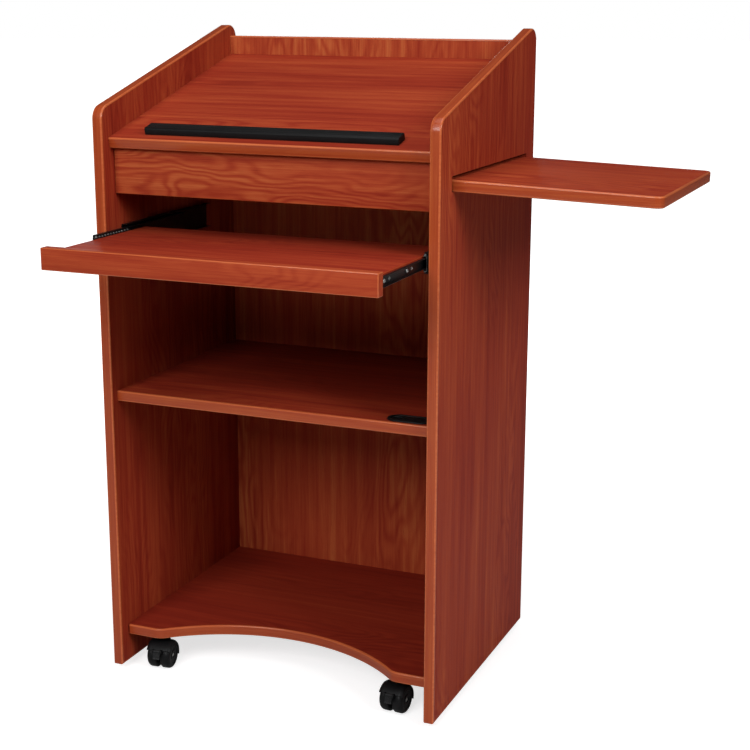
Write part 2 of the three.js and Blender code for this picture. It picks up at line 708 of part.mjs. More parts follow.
function caster({ name, x, y, turn, brake }) {
  const axle = [0, -TRAIL, AXLE_HEIGHT];
  const swivel = assembly(
    part(`caster_${name}_hood`, casterHood(brake), blackPlastic, axle),
    part(`caster_${name}_axle`, rodAlongX(AXLE_RADIUS, -AXLE_HALF, AXLE_HALF, 24), zincSteel, axle),
  );
  for (const [hand, way] of [['left', -1], ['right', 1]]) {
    const wheel = part(`caster_${name}_wheel_${hand}`, casterWheel(), blackPlastic, axle);
    wheel.translateX(way * WHEEL_INNER);
    wheel.rotation.z = way > 0 ? 0 : Math.PI;
    swivel.add(wheel);
  }
  if (brake) {
    const pivot = [0, PEDAL_PIVOT.y - TRAIL, PEDAL_PIVOT.z + AXLE_HEIGHT];
    swivel.add(part(`caster_${name}_brake_pedal`, brakePedal(), blackPlastic, pivot));
  }
  swivel.rotation.z = THREE.MathUtils.degToRad(turn);
  const whole = assembly(part(`caster_${name}_plate`, casterPlate(), zincSteel), swivel);
  whole.position.set(x, y, 0);
  return whole;
}

// ---------------------------------------------------------------- the whole lectern
const cabinet = assembly(
  sidePanels(),
  backPanel(),
  readingSurface(),
  frontFascia(),
  middleShelf(),
  baseShelf(),
  keyboardTray(),
  sideShelf(),
  ...CASTERS.map(caster),
);

// The origin lies on the floor under the middle of the whole outline, with the shelf and tray out.
const shelfTip = WIDTH / 2 + SIDE_SHELF_OUT * Math.cos(SIDE_SHELF_DROOP);
cabinet.position.set(-(shelfTip - WIDTH / 2) / 2, -(TRAY_FRONT + DEPTH / 2) / 2, 0);

const lectern = new THREE.Group();
lectern.add(cabinet);
export default lectern;
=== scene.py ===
"""Presentation lectern: the looks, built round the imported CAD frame.

Metres, +Z up. The user stands on the -Y side and the side shelf pulls out towards +X.
"""
import math

import bmesh
import bpy
from mathutils import Matrix, Vector


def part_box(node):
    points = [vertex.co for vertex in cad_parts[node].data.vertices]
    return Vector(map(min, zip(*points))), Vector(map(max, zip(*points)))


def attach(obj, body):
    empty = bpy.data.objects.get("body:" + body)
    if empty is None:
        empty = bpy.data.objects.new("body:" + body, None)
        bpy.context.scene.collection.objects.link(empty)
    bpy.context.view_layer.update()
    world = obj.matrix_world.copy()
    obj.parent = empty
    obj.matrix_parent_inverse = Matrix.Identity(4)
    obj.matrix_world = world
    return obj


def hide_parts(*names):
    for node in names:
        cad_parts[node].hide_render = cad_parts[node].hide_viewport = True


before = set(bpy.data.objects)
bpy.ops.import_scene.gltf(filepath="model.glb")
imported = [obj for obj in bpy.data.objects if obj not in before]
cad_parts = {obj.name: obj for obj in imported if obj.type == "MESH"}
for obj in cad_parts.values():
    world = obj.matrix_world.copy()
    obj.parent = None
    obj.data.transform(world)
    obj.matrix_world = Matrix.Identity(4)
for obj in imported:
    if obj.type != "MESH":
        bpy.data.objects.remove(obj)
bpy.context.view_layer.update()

MM = 0.001

# ------------------------------------------------------------------ driving sizes
BOARD = 19 * MM
BAND = 3 * MM  # edge banding
BAND_ROUND = 2.75 * MM
# narrow facets of rounded edges take the painted highlight colour
ROLL_WIDTH = 1.1 * MM  # facets narrower than this belong to a rounded edge
SEAM = 0.25 * MM
FRONT_TOP = 1030 * MM  # sloping edge of a side panel, before its corners are rounded
REAR_TOP = 1168 * MM
PANEL_CORNER = 25 * MM
TOE_HALF = 230 * MM  # toe cut-out of the base shelf
TOE_DEPTH = 91 * MM
TOE_BLEND = 30 * MM
SIDE_SHELF_DROOP = math.radians(1.7)
SIDE_SHELF_HEIGHT = 933 * MM
SIDE_SHELF_CORNER = 15 * MM
SIDE_SHELF_OUT = 338.5 * MM
SIDE_SHELF_IN = 206.5 * MM
STOP_SETBACK = 21 * MM
STOP_DEPTH = 28 * MM
STOP_RISE = 12.5 * MM
STOP_GROOVES = (0.68, 0.34)  # their places, as shares of the stop's depth
GROOVE_HALF = 1.6 * MM
GROOVE_DEPTH = 0.8 * MM
STOP_END = 0.8 * MM  # chamfer at each end
BOARD_EASE = 1.0 * MM
RAIL_EASE = 1.5 * MM
BROAD_FACE = 1e-4  # square metres; a flat face bigger than this shows laminate
SHARP_MOULDING = 38  # degrees; gentler corners of a moulding are shaded smooth
SLIDE_METAL = 1.25 * MM
SLIDE_HOLES = (42 * MM, 135 * MM)  # spare holes, along a tray member
# rolled rim of a hole: radius, height over the metal, in mm
EYELET_SECTION = ((1.9, -0.2), (1.9, 0.25), (2.15, 0.5), (2.6, 0.5), (2.95, 0.2), (3.05, -0.2))
RETAINER_LEAD = 3 * MM  # ball retainer ahead of its middle member
RETAINER_LENGTH = 110 * MM
RETAINER_HEIGHT = 25 * MM
RETAINER_DEPTH = 6.5 * MM
RETAINER_METAL = 0.9 * MM
RETAINER_LIP = 0.3 * MM
RETAINER_PLAY = 0.3 * MM  # to the web of the middle member
BALL_RADIUS = 3.1 * MM
BALL_RISE = 12.2 * MM
BALL_OFF = 5.7 * MM
BALL_PITCH = 9 * MM
BALL_COUNT = 12
SCREW_SHANK = 1.75 * MM
SCREW_HEAD_HEIGHT = 2 * MM
SCREW_POINT = 1 * MM
SCREW_DOME = 45  # fall of the head in metres per square metre of radius
RECESS_FROM = 0.6  # cross recess: where it starts up the head, as a share of the head's height
RECESS_DEPTH = 0.55
RECESS_REACH = 0.62  # its arms, as shares of the head's radius
RECESS_WIDTH = 0.17
GROMMET_RIM = 4 * MM
GROMMET_WALL = 2 * MM
GROMMET_LIP = 2.5 * MM
CAP_EASE = 0.5 * MM
CABLE_NOTCH_LENGTH = 20 * MM
CABLE_NOTCH_WIDTH = 12 * MM

CASTER_TRAIL = 16 * MM
CASTER_TURN = {"front_left": 7, "front_right": -5, "rear_left": 10, "rear_right": -12}
AXLE_HEIGHT = 25 * MM * math.cos(math.pi / 32)  # a wheel's tread is a polygon in the frame
AXLE_RADIUS = 4 * MM
AXLE_HALF = 21 * MM
AXLE_PLAY = 0.2 * MM
WHEEL_INNER = 4 * MM
WHEEL_WIDTH = 18.5 * MM
WHEEL_SHOULDER = 7 * MM
# recessed disc and hub of a wheel's outer face: radius, distance out from the inner face, in mm
WHEEL_DISH = (
    (17.0, 18.45),
    (16.4, 18.0),
    (16.1, 17.2),
    (9.6, 17.0),
    (9.2, 17.6),
    (8.6, 17.9),
    (4.9, 17.9),
    (4.5, 17.6),
)
BORE_DEPTH = 16.6 * MM
HOOD_OUTER = 28 * MM
HOOD_THICK = 2 * MM
HOOD_HALF = 23 * MM
HOOD_SHOULDER = 10 * MM
HOOD_SHOULDER_X = 15.5 * MM
HOOD_FROM = math.radians(-18)
HOOD_TO = math.radians(147)
WEB_HALF = 3.5 * MM
WEB_HUB = 11 * MM
BOSS_RADIUS = 8 * MM
BOSS_TOP = 59 * MM
BOSS_FOOT = 13.2 * MM  # above the axle
COLLAR_RADIUS = BOSS_RADIUS + 2.2 * MM
COLLAR_TOP = HOOD_OUTER - 5 * MM
COLLAR_EASE = 1.5 * MM
PEDAL_PIVOT = (-26 * MM, 15 * MM)
PEDAL_TIP = (-31.5 * MM, 1 * MM)
PEDAL_HALF = 6.5 * MM
PEDAL_THICK = 3 * MM
PEDAL_BARREL = 3 * MM
PEDAL_RIBS = 5
PEDAL_PITCH = 2 * MM
PEDAL_END = 1.1 * MM  # rounding at its free end
PEDAL_FIRST_RIB = 3 * MM  # below the pivot
PEDAL_DIP = 0.7 * MM  # depth of the grooves between ribs
RIB_LENGTH = 0.62 * PEDAL_PITCH
RIB_FLARE = 0.12 * PEDAL_PITCH
RIB_EASE = 0.12 * MM
TRUNNION_RADIUS = 1.5 * MM
EAR_THICK = 2.5 * MM
EAR_RADIUS = 4 * MM

left_low, left_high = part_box("left_panel_edge_band")
right_low, right_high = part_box("right_panel_edge_band")
MIDDLE_X = (left_low.x + right_high.x) / 2
FRONT = left_low.y
REAR = left_high.y
SLOPE = math.atan((REAR_TOP - FRONT_TOP) / (REAR - FRONT))

# ------------------------------------------------------------------ camera
CAMERA_PLACE = (971.26 * MM, -2391.37 * MM, 1221.72 * MM)
CAMERA_DOWN = 14.021  # degrees below the horizon
CAMERA_AZIMUTH = 22.601  # degrees round from the front, towards the side shelf
CAMERA_ROLL = 0.171
CAMERA_LENS = 73.483
CAMERA_SENSOR = 36  # millimetres, like the lens
CAMERA_REACH = 200


def make_camera():
    data = bpy.data.cameras.new("camera")
    data.lens = CAMERA_LENS
    data.sensor_width = CAMERA_SENSOR
    data.clip_end = CAMERA_REACH
    camera = bpy.data.objects.new("camera", data)
    bpy.context.scene.collection.objects.link(camera)
    turn = Matrix.Rotation(math.radians(CAMERA_AZIMUTH), 4, "Z")
    tilt = Matrix.Rotation(math.radians(90 - CAMERA_DOWN), 4, "X")
    roll = Matrix.Rotation(math.radians(CAMERA_ROLL), 4, "Z")
    camera.matrix_world = Matrix.Translation(CAMERA_PLACE) @ turn @ tilt @ roll
    bpy.context.scene.camera = camera


# ------------------------------------------------------------------ material graphs
COAT_ROUGHNESS = 0.12
LAMINATE_IOR = 1.16  # the laminate is matt, so its sheen is kept low
GRAIN_DEPTH = 0.04 * MM
SPARK_DEPTH = 0.06 * MM
ROLLING_DEPTH = 0.03 * MM


class Graph:
    """A material's node tree, with short names for the nodes used here."""

    def __init__(self, name):
        self.material = bpy.data.materials.new(name)
        self.material.use_nodes = True
        self.tree = self.material.node_tree
        self.shader = self.tree.nodes["Principled BSDF"]

    def node(self, kind, inputs=(), **settings):
        made = self.tree.nodes.new(kind)
        for key, value in settings.items():
            setattr(made, key, value)
        for key, value in dict(inputs).items():
            self.put(made.inputs[key], value)
        return made

    def put(self, socket, value):
        if isinstance(value, bpy.types.NodeSocket):
            self.tree.links.new(value, socket)
        else:
            socket.default_value = value

    def place(self, scale=(1, 1, 1), shift=(0, 0, 0), turn=(0, 0, 0)):
        where = self.node("ShaderNodeTexCoord").outputs["Object"]
        return self.node(
            "ShaderNodeMapping",
            {"Vector": where, "Scale": scale, "Location": shift, "Rotation": turn},
        ).outputs[0]

    def stretch(self, vector, scale):
        return self.node("ShaderNodeMapping", {"Vector": vector, "Scale": scale}).outputs[0]

    def noise(self, vector, scale=1.0, detail=3.0, roughness=0.55, distortion=0.0):
        inputs = {
            "Vector": vector,
            "Scale": scale,
            "Detail": detail,
            "Roughness": roughness,
            "Distortion": distortion,
        }
        return self.node("ShaderNodeTexNoise", inputs).outputs[0]

    def math(self, operation, first, second=0.0, clamp=False):
        inputs = {0: first, 1: second}
        return self.node("ShaderNodeMath", inputs, operation=operation, use_clamp=clamp).outputs[0]

    def spread(self, value, low, high, to_low=0.0, to_high=1.0):
        inputs = {0: value, 1: low, 2: high, 3: to_low, 4: to_high}
        return self.node("ShaderNodeMapRange", inputs).outputs[0]

    def ramp(self, value, stops):
        made = self.node("ShaderNodeValToRGB", {0: value})
        elements = made.color_ramp.elements
        while len(elements) < len(stops):
            elements.new(0.5)
        for element, (position, colour) in zip(elements, stops):
            element.position = position
            element.color = (*colour, 1)
        return made.outputs[0]

    def mix(self, factor, first, second, blend="MIX"):
        made = self.node("ShaderNodeMix", data_type="RGBA", blend_type=blend)
        self.put(made.inputs[0], factor)
        self.put(made.inputs[6], first)
        self.put(made.inputs[7], second)
        return made.outputs[2]

    def bump(self, height, distance, strength=1.0):
        inputs = {"Height": height, "Distance": distance, "Strength": strength}
        self.put(self.shader.inputs["Normal"], self.node("ShaderNodeBump", inputs).outputs[0])

    def surface(self, colour, roughness, metallic=0.0, coat=0.0, specular=0.5, ior=1.5):
        self.put(self.shader.inputs["Base Color"], colour)
        self.put(self.shader.inputs["Roughness"], roughness)
        self.shader.inputs["Metallic"].default_value = metallic
        self.shader.inputs["IOR"].default_value = ior
        self.shader.inputs["Specular IOR Level"].default_value = specular
        self.shader.inputs["Coat Weight"].default_value = coat
        self.shader.inputs["Coat Roughness"].default_value = COAT_ROUGHNESS
        return self.material


CHERRY = [
    (0.0, (0.160, 0.012, 0.0075)),
    (0.35, (0.275, 0.029, 0.0130)),
    (0.62, (0.380, 0.061, 0.0215)),
    (1.0, (0.560, 0.160, 0.049)),
]
CHERRY_EDGE = [
    (0.0, (0.180, 0.017, 0.006)),
    (0.5, (0.330, 0.048, 0.012)),
    (1.0, (0.500, 0.120, 0.024)),
]
# painted highlight: a lighter cherry for the rounded edges of banding and of the tray rail,
# standing in for the light they catch
CHERRY_PAINTED_HIGHLIGHT = [
    (0.0, (0.300, 0.045, 0.014)),
    (0.5, (0.470, 0.098, 0.030)),
    (1.0, (0.640, 0.190, 0.060)),
]
RAW_WOOD = [
    (0.0, (0.240, 0.140, 0.070)),
    (0.5, (0.390, 0.255, 0.140)),
    (1.0, (0.520, 0.370, 0.220)),
]
# how many times a metre each layer of the grain varies: along it, then across it both ways
BROAD = (1.3, 9, 9)
STREAK = (2.4, 95, 95)
FIBRE = (12, 760, 760)
PORE = (45, 1500, 1500)
BEND = (2.3, 8.5, 8.5)
PATCH = (1.4, 5.5, 5.5)
GRAIN_TURN = {"x": (0, 0, 0), "y": (0, 0, -math.pi / 2), "z": (0, math.pi / 2, 0)}


def seed_shift(seed):
    """Moves a texture far enough that two boards never show the same figure."""
    return (0.37 * seed, 1.13 * seed, 0.71 * seed)


def wood(
    name,
    grain,
    seed,
    colours=CHERRY,
    figure=0.3,
    contrast=1.0,
    tone_and_shading=0.5,
    rings=64.0,
    sway=19.0,
):
    """Printed cherry laminate.

    grain is the axis that the figure runs along and tone is how pale the board is painted. It is
    set board by board to how bright each board looks, so besides the laminate's own tone it holds
    painted shade, darker on the shelves and tray in the bays, and painted light, paler on the
    fascia, rail and back panel. rings is how many growth rings there are to a metre, and sway is
    how far, in rings, they wander.
    """
    graph = Graph(name)
    along = graph.place(turn=GRAIN_TURN[grain], shift=seed_shift(seed))
    broad = graph.noise(graph.stretch(along, BROAD), detail=3, distortion=0.5)
    streak = graph.noise(graph.stretch(along, STREAK), detail=5, roughness=0.62)
    fibre = graph.noise(graph.stretch(along, FIBRE), detail=3, roughness=0.6)
    pore = graph.noise(graph.stretch(along, PORE), detail=2)

    # growth rings: lines along the grain, bent by a slow noise until they close into loops
    slow = graph.stretch(along, BEND)
    bend = graph.noise(slow, detail=3, roughness=0.42, distortion=0.25)
    across = graph.node("ShaderNodeSeparateXYZ", {0: along}).outputs[1]
    spaced = graph.math("MULTIPLY", across, rings)
    phase = graph.math("ADD", spaced, graph.math("MULTIPLY", bend, sway))
    ring = graph.spread(graph.math("SINE", graph.math("MULTIPLY", phase, math.tau)), -1.0, 1.0)
    ring = graph.math("SUBTRACT", graph.math("POWER", ring, 1.6), 0.42)
    where = graph.noise(graph.stretch(along, PATCH), detail=1)
    ring = graph.math("MULTIPLY", ring, graph.spread(where, 0.40, 0.60))

    value = graph.math("MULTIPLY", graph.math("SUBTRACT", broad, 0.5), 0.75 * contrast)
    for part, weight in ((streak, 0.75), (fibre, 0.40)):
        part = graph.math("MULTIPLY", graph.math("SUBTRACT", part, 0.5), weight * contrast)
        value = graph.math("ADD", value, part)
    value = graph.math("SUBTRACT", value, graph.math("MULTIPLY", ring, figure))
    # the board's tone, which also carries painted light and shade set board by board
    value = graph.math("ADD", value, tone_and_shading, clamp=True)
    colour = graph.ramp(value, colours)
    pores = graph.spread(pore, 0.60, 0.70, 0.0, 0.40)
    colour = graph.mix(pores, colour, (*colours[0][1], 1))

    roughness = graph.spread(fibre, 0.3, 0.7, 0.44, 0.54)
    graph.bump(graph.math("SUBTRACT", fibre, graph.math("MULTIPLY", pores, 1.5)), GRAIN_DEPTH, 0.5)
    return graph.surface(colour, roughness, specular=0.3, ior=LAMINATE_IOR)


def edge_wood(name, slow, fast, seed, colours=CHERRY_EDGE):
    """Edge banding: fine grain that follows the edge, so it varies fast only across its width."""
    graph = Graph(name)
    scales = [fast if axis == slow else 5 for axis in "xyz"]
    along = graph.place(scale=scales, shift=seed_shift(seed))
    streak = graph.noise(along, detail=5, roughness=0.65, distortion=0.2)
    drift = graph.noise(graph.place(scale=(6, 6, 6)), detail=2)
    value = graph.math("MULTIPLY", streak, 0.75)
    value = graph.math("ADD", value, graph.math("MULTIPLY", drift, 0.3))
    colour = graph.ramp(value, colours)
    roughness = graph.spread(streak, 0.3, 0.7, 0.30, 0.40)
    graph.bump(streak, GRAIN_DEPTH, 0.5)
    return graph.surface(colour, roughness, coat=0.30, specular=0.2)


def plastic(name, colour, roughness, grain_size):
    """Moulded black plastic: a fine spark texture, faint dust and scuffs."""
    graph = Graph(name)
    texture = graph.noise(graph.place(), scale=1 / grain_size, detail=2)
    cloud = graph.noise(graph.place(), scale=25, detail=4)
    scuff = graph.spread(graph.noise(graph.place(scale=(300, 40, 300)), detail=3), 0.60, 0.75)
    lighter = tuple(1.9 * c + 0.003 for c in colour)
    shade = graph.mix(graph.math("MULTIPLY", cloud, 0.6), (*colour, 1), (*lighter, 1))
    rough = graph.spread(cloud, 0.3, 0.7, roughness - 0.06, roughness + 0.08)
    rough = graph.math("ADD", rough, graph.math("MULTIPLY", scuff, 0.12))
    graph.bump(texture, SPARK_DEPTH, 0.5)
    return graph.surface(shade, rough, specular=0.15)


def metal(name, colour, roughness, metallic=1.0):
    """Plated steel with rolling marks along it and a cloudy finish."""
    graph = Graph(name)
    rolled = graph.noise(graph.place(scale=(900, 14, 900)), detail=3)
    cloud = graph.noise(graph.place(), scale=40, detail=3)
    darker = tuple(0.6 * c for c in colour)
    shade = graph.mix(graph.spread(cloud, 0.3, 0.7), (*colour, 1), (*darker, 1))
    rough = graph.math("ADD", graph.spread(rolled, 0.3, 0.7, -0.06, 0.08), roughness)
    graph.bump(rolled, ROLLING_DEPTH, 0.5)
    return graph.surface(shade, rough, metallic=metallic)


# ------------------------------------------------------------------ mesh helpers
def add_piece(name, bm, materials, body, replaces=(), sharp=32, rolled=False):
    """Links a bmesh as a smooth-shaded piece that rides on a body and stands for CAD nodes.

    With rolled, the second material, a lighter cherry that is a painted highlight, goes on the
    narrow faces of rounded edges.
    """
    bmesh.ops.recalc_face_normals(bm, faces=bm.faces)
    for face in bm.faces:
        face.smooth = True
        longest = max(edge.calc_length() for edge in face.edges)
        # painted highlight: the narrow faces of rounded edges get the lighter second material
        if rolled and face.calc_area() < ROLL_WIDTH * longest:
            face.material_index = 1
    for edge in bm.edges:
        edge.smooth = edge.is_manifold and edge.calc_face_angle() < math.radians(sharp)
    mesh = bpy.data.meshes.new(name)
    bm.to_mesh(mesh)
    bm.free()
    for material in materials if isinstance(materials, (list, tuple)) else [materials]:
        mesh.materials.append(material)
    piece = bpy.data.objects.new(name, mesh)
    bpy.context.scene.collection.objects.link(piece)
    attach(piece, body)
    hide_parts(*replaces)
    return piece


def arc(centre, radius, start, stop, steps):
    """Points of a circular arc in a plane, angles in radians."""
    x, y = centre
    points = []
    for i in range(steps + 1):
        turn = start + (stop - start) * i / steps
        points.append(Vector((x + radius * math.cos(turn), y + radius * math.sin(turn))))
    return points


def rounded(corners, steps=8):
    """A counter-clockwise outline from corners (x, y, radius); hollow corners are filleted."""
    points = []
    for i, (x, y, radius) in enumerate(corners):
        here = Vector((x, y))
        before = (here - Vector(corners[i - 1][:2])).normalized()
        after = (Vector(corners[(i + 1) % len(corners)][:2]) - here).normalized()
        if radius <= 0:
            points.append(here)
            continue
        turn = math.atan2(before.cross(after), before.dot(after))
        way = math.copysign(1, turn)
        inward = way * Vector((-before.y, before.x))
        centre = here - before * radius * math.tan(abs(turn) / 2) + inward * radius
        start = math.atan2(-inward.y, -inward.x)
        points += arc(centre, radius, start, start + turn, steps)
    return points


def loft(rings, closed=False):
    """Quads between rings of points; the ends are capped unless the rings close on themselves."""
    bm = bmesh.new()
    rows = [[bm.verts.new(point) for point in ring] for ring in rings]
    pairs = list(zip(rows, rows[1:]))
    if closed:
        pairs.append((rows[-1], rows[0]))
    for first, second in pairs:
        for i in range(len(first)):
            j = (i + 1) % len(first)
            bm.faces.new((first[i], first[j], second[j], second[i]))
    if not closed:
        bm.faces.new(rows[0])
        bm.faces.new(reversed(rows[-1]))
    return bm


def mitres(path, closed):
    """For each point of a counter-clockwise path, the outward step that offsets it by one."""
    count = len(path)
    steps = []
    for i, point in enumerate(path):
        before = point - path[i - 1] if closed or i else path[1] - path[0]
        after = path[(i + 1) % count] - point if closed or i < count - 1 else before
        first = Vector((before.y, -before.x)).normalized()
        second = Vector((after.y, -after.x)).normalized()
        steps.append((first + second) / (1 + first.dot(second)))
    return steps


def band_profile(round_steps=6):
    """Section of the banding as (inset from the edge, height): rounded at both outer corners."""
    outer = arc((BAND_ROUND, BAND_ROUND), BAND_ROUND, -math.pi / 2, -math.pi, round_steps)
    top = arc((BAND_ROUND, BOARD - BAND_ROUND), BAND_ROUND, math.pi, math.pi / 2, round_steps)
    return [Vector((BAND, 0))] + outer + top + [Vector((BAND, BOARD))]


def band(path, to_space, closed=False):
    """Banding swept along an edge; to_space(point, height) puts it in the row frame."""
    profile = band_profile()
    rings = []
    for point, out in zip(path, mitres(path, closed)):
        rings.append([to_space(point - out * inset, height) for inset, height in profile])
    return loft(rings, closed)


def bar(section, x0, x1, place=Matrix()):
    """A (y, z) section extruded along X."""
    return loft([[place @ Vector((x, y, z)) for y, z in section] for x in (x0, x1)])


def rounded_block(low, high, radius, steps=3):
    """A box with rolled edges."""
    bm = bmesh.new()
    bmesh.ops.create_cube(bm, size=1)
    size = Vector(high) - Vector(low)
    middle = (Vector(high) + Vector(low)) / 2
    bm.transform(Matrix.Translation(middle) @ Matrix.Diagonal((*size, 1)))
    edges = bm.edges[:]
    bmesh.ops.bevel(bm, geom=edges, offset=radius, segments=steps, affect="EDGES", profile=0.5)
    return bm


def lathe(profile, steps, place=Matrix()):
    """A profile of (radius, x) points turned about X. Ends on the axis are closed to a point."""
    bm = bmesh.new()
    rows = []
    for radius, x in profile:
        if radius < 1e-7:
            rows.append([bm.verts.new(place @ Vector((x, 0, 0)))])
            continue
        row = []
        for i in range(steps):
            turn = math.tau * i / steps
            point = Vector((x, radius * math.cos(turn), radius * math.sin(turn)))
            row.append(bm.verts.new(place @ point))
        rows.append(row)
    for first, second in zip(rows, rows[1:]):
        for i in range(steps):
            j = (i + 1) % steps
            corners = [first[i % len(first)], first[j % len(first)]]
            corners += [second[j % len(second)], second[i % len(second)]]
            unique = list(dict.fromkeys(corners))
            if len(unique) > 2:
                bm.faces.new(unique)
    return bm


def merge(target, source):
    """Adds one bmesh to another."""
    mesh = bpy.data.meshes.new("scratch")
    source.to_mesh(mesh)
    source.free()
    target.from_mesh(mesh)
    bpy.data.meshes.remove(mesh)
    return target


# ------------------------------------------------------------------ cabinet boards
def dress_boards(palette):
    """Gives each flat CAD board its laminate."""
    looks = {
        "left_side_panel": palette["left"],
        "right_side_panel": palette["right"],
        "back_panel": palette["back"],
        "reading_surface": palette["desk"],
        "middle_shelf": palette["middle"],
        "base_shelf": palette["base"],
        "side_shelf": palette["side"],
    }
    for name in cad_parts:
        if name.startswith("side_shelf_") and name != "side_shelf_edge_band":
            looks[name] = palette["raw"]
        if name.endswith(("_plate", "_axle")):
            looks[name] = palette["zinc"]
    for name, material in looks.items():
        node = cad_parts[name]
        node.data.materials.clear()
        node.data.materials.append(material)


def add_banding(name, bm, palette, node, body="cabinet", look="edge_level"):
    """A strip of edge banding, with a painted highlight: a lighter line along its rolled edges."""
    looks = [palette[look], palette["edge_painted_highlight"]]
    add_piece(name, bm, looks, body, [node], rolled=True)


def make_panel_bands(palette):
    path = rounded(
        [
            (FRONT, left_low.z, 0),
            (REAR, left_low.z, 0),
            (REAR, REAR_TOP, PANEL_CORNER),
            (FRONT, FRONT_TOP, PANEL_CORNER),
        ],
        14,
    )
    for side, start in (("left", left_low.x), ("right", right_low.x)):

        def stand(point, height):
            return Vector((start + height, point.x, point.y))

        bm = band(path, stand, closed=True)
        node = f"{side}_panel_edge_band"
        add_banding(f"{side}_panel_banding", bm, palette, node, look="edge_upright")


def edge_section(low, high, radii):
    """A (y, z) rectangle, its corners counter-clockwise from the front bottom one."""
    places = ((low.y, low.z), (high.y, low.z), (high.y, high.z), (low.y, high.z))
    return rounded([(y, z, radius) for (y, z), radius in zip(places, radii)])


def make_straight_bands(palette):
    """Banding along the back panel's top and the middle shelf's front."""
    low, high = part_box("back_panel_top_band")
    section = edge_section(low, high, (0, 0, BAND_ROUND, BAND_ROUND))
    bm = bar(section, low.x, high.x)
    add_banding("back_top_banding", bm, palette, "back_panel_top_band")

    low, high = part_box("middle_shelf_edge_band")
    section = edge_section(low, high, (BAND_ROUND, 0, 0, BAND_ROUND))
    bm = bar(section, low.x, high.x)
    add_banding("middle_shelf_banding", bm, palette, "middle_shelf_edge_band")


def make_base_band(palette):
    low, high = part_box("base_shelf_edge_band")
    front = low.y
    toe_radius = (TOE_HALF**2 + TOE_DEPTH**2) / (2 * TOE_DEPTH)
    toe_centre = front + TOE_DEPTH - toe_radius
    blend_y = front + TOE_BLEND
    blend_x = math.sqrt((toe_radius + TOE_BLEND) ** 2 - (blend_y - toe_centre) ** 2)
    lean = math.atan2(blend_y - toe_centre, blend_x)
    path = [Vector((low.x, front))]
    path += arc((MIDDLE_X - blend_x, blend_y), TOE_BLEND, -math.pi / 2, -lean, 8)
    path += arc((MIDDLE_X, toe_centre), toe_radius, math.pi - lean, lean, 56)[1:-1]
    path += arc((MIDDLE_X + blend_x, blend_y), TOE_BLEND, math.pi + lean, 1.5 * math.pi, 8)
    path += [Vector((high.x, front))]
    bm = band(path, lambda point, height: Vector((point.x, point.y, low.z + height)))
    add_banding("base_shelf_banding", bm, palette, "base_shelf_edge_band")


def side_shelf_place():
    """The side shelf's own frame: at the outer face of the right panel, tipped by its droop."""
    place = Matrix.Translation((right_high.x, 0, SIDE_SHELF_HEIGHT))
    return place @ Matrix.Rotation(SIDE_SHELF_DROOP, 4, "Y")


def make_side_shelf_band(palette):
    low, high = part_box("side_shelf_edge_band")
    place = side_shelf_place()
    path = rounded(
        [
            (-SIDE_SHELF_IN + BAND, low.y, 0),
            (SIDE_SHELF_OUT, low.y, SIDE_SHELF_CORNER),
            (SIDE_SHELF_OUT, high.y, SIDE_SHELF_CORNER),
            (-SIDE_SHELF_IN + BAND, high.y, 0),
        ],
        10,
    )
    bm = band(path, lambda point, height: place @ Vector((point.x, point.y, height - BOARD)))
    add_banding("side_shelf_banding", bm, palette, "side_shelf_edge_band", "side_shelf_board")


def desk_point(along, rise):
    """A (y, z) point of the reading surface: along runs up the slope from its front top edge."""
    low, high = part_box("reading_surface_nosing")
    top_front = Vector((low.y, high.z - BAND * math.sin(SLOPE)))
    up = Vector((math.cos(SLOPE), math.sin(SLOPE)))
    return top_front + along * up + rise * Vector((-up.y, up.x))


def make_desk_front(palette):
    """The rounded nosing of the reading surface and the ribbed ledge that stops papers."""
    low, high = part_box("reading_surface_nosing")
    corners = [(0, -BOARD, BAND_ROUND), (BAND, -BOARD, 0), (BAND, 0, 0), (0, 0, BAND_ROUND)]
    section = rounded([(*desk_point(along, rise), radius) for along, rise, radius in corners])
    bm = bar(section, low.x, high.x)
    add_banding("desk_nosing", bm, palette, "reading_surface_nosing")

    low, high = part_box("book_stop")
    start, stop, top = STOP_SETBACK, STOP_SETBACK + STOP_DEPTH, STOP_RISE
    groove, floor = GROOVE_HALF, top - GROOVE_DEPTH
    corners = [(start, SEAM, 0.4 * MM), (stop, SEAM, 0.4 * MM), (stop, top, 3 * MM)]
    for share in STOP_GROOVES:
        middle = start + STOP_DEPTH * share
        corners += [
            (middle + groove, top, 0.4 * MM),
            (middle + groove / 2, floor, 0.3 * MM),
            (middle - groove / 2, floor, 0.3 * MM),
            (middle - groove, top, 0.4 * MM),
        ]
    corners += [(start, top, 4 * MM)]
    section = rounded([(*desk_point(along, rise), radius) for along, rise, radius in corners], 5)
    middle = sum(section, Vector((0, 0))) / len(section)
    end = STOP_END
    rings = []
    for x, inset in ((low.x, end), (low.x + end, 0), (high.x - end, 0), (high.x, end)):
        ring = [point + (middle - point).normalized() * inset for point in section]
        rings.append([Vector((x, y, z)) for y, z in ring])
    ledge = loft(rings)
    add_piece("paper_ledge", ledge, palette["ledge"], "cabinet", ["book_stop"])


def eased_board(name, node, material, edge, body, radius):
    """A laminated board whose narrow edges show as a thin line in the edge material; on the tray
    rail that material is the lighter painted highlight.
    """
    low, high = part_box(node)
    bm = rounded_block(low, high, radius)
    for face in bm.faces:
        upright = max(abs(c) for c in face.normal)
        broad = upright > 0.999 and face.calc_area() > BROAD_FACE
        face.material_index = 0 if broad else 1
    add_piece(name, bm, [material, edge], body, [node])


